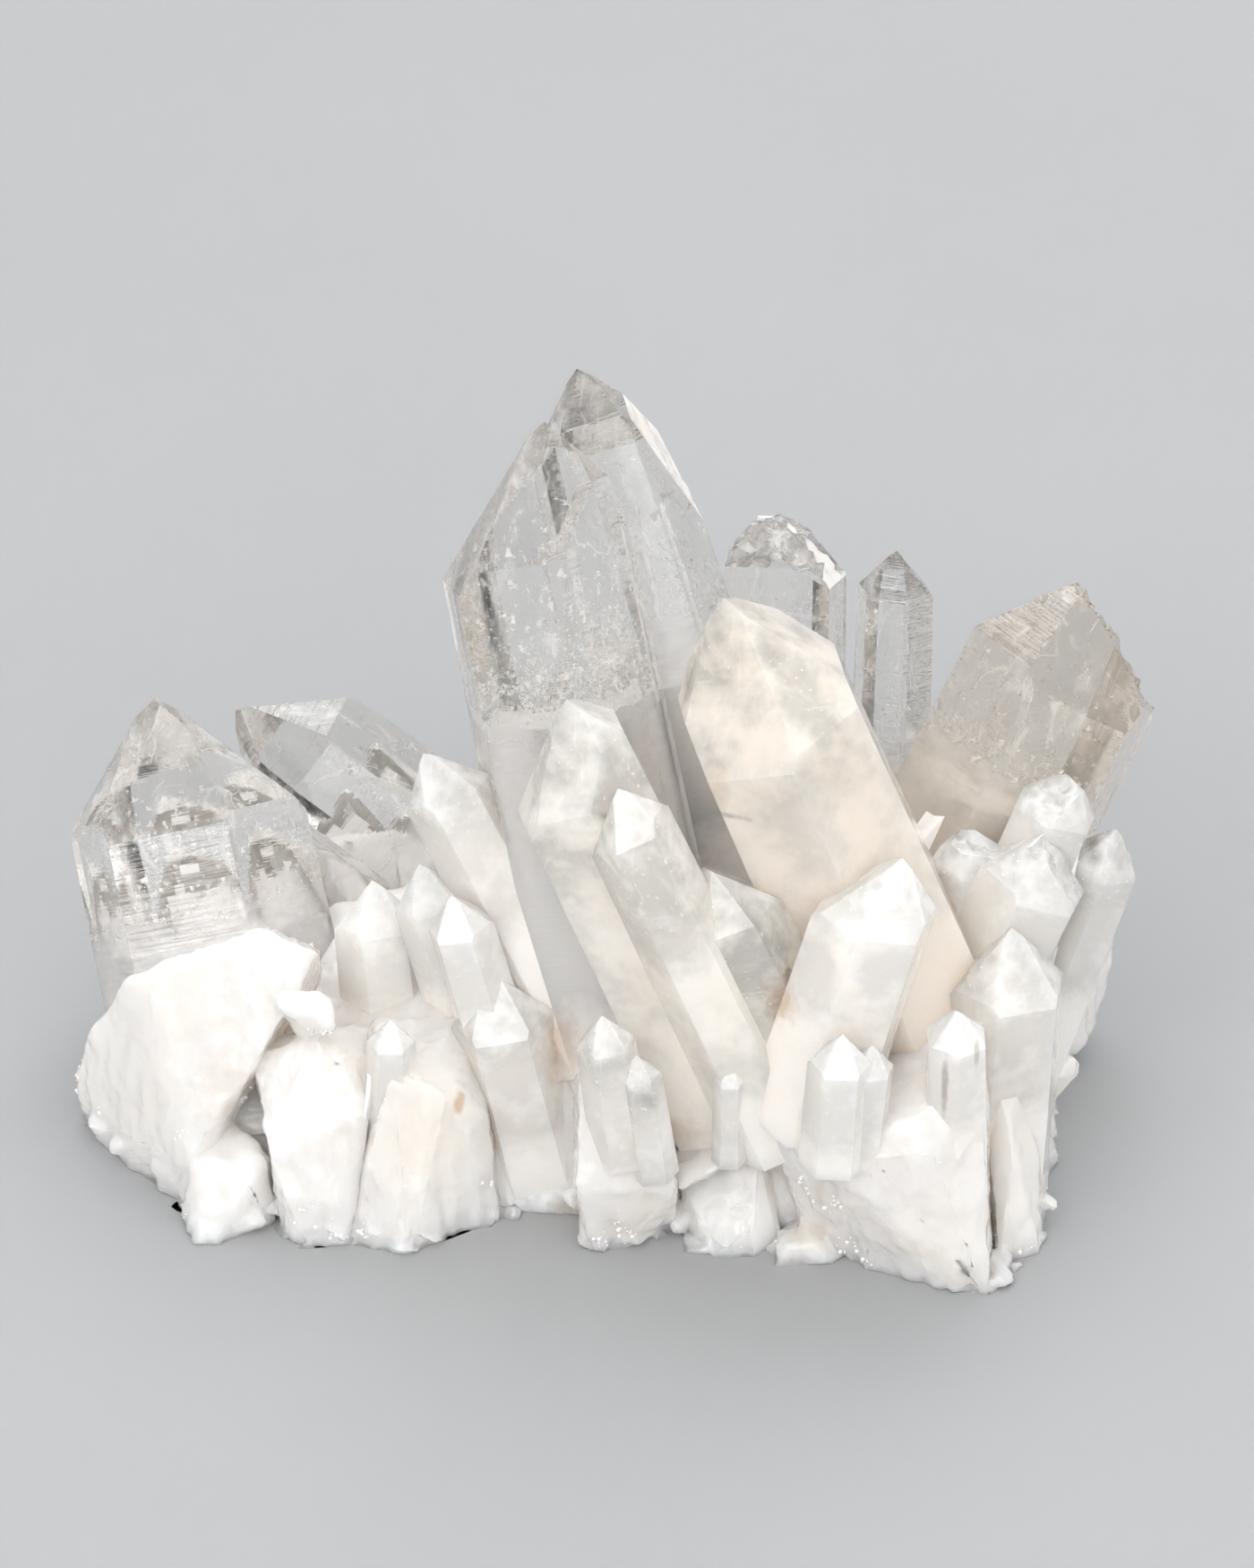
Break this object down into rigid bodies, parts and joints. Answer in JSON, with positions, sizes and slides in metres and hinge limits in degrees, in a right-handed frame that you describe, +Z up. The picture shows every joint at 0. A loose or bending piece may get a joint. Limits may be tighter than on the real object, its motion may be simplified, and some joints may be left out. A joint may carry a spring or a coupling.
{
  "type": "self-healed quartz cluster",
  "caption": "Hand-sized cluster of clear to milky quartz points on a broken base that has grown over again, cut flat underneath so that it stands by itself.",
  "frame": {"origin": "middle of the cluster's outline, on the flat cut that it rests on", "axes": "+X to the right along the cluster's length, -Y towards the front that shows the large points, +Z up"},
  "size_m": [0.1126, 0.067, 0.0748],
  "materials": {
    "quartz": "clear and glossy at the tips, milky and satin at the base"
  },
  "bodies": {
    "root": {"quartz_cluster": "quartz"}
  },
  "joints": []
}
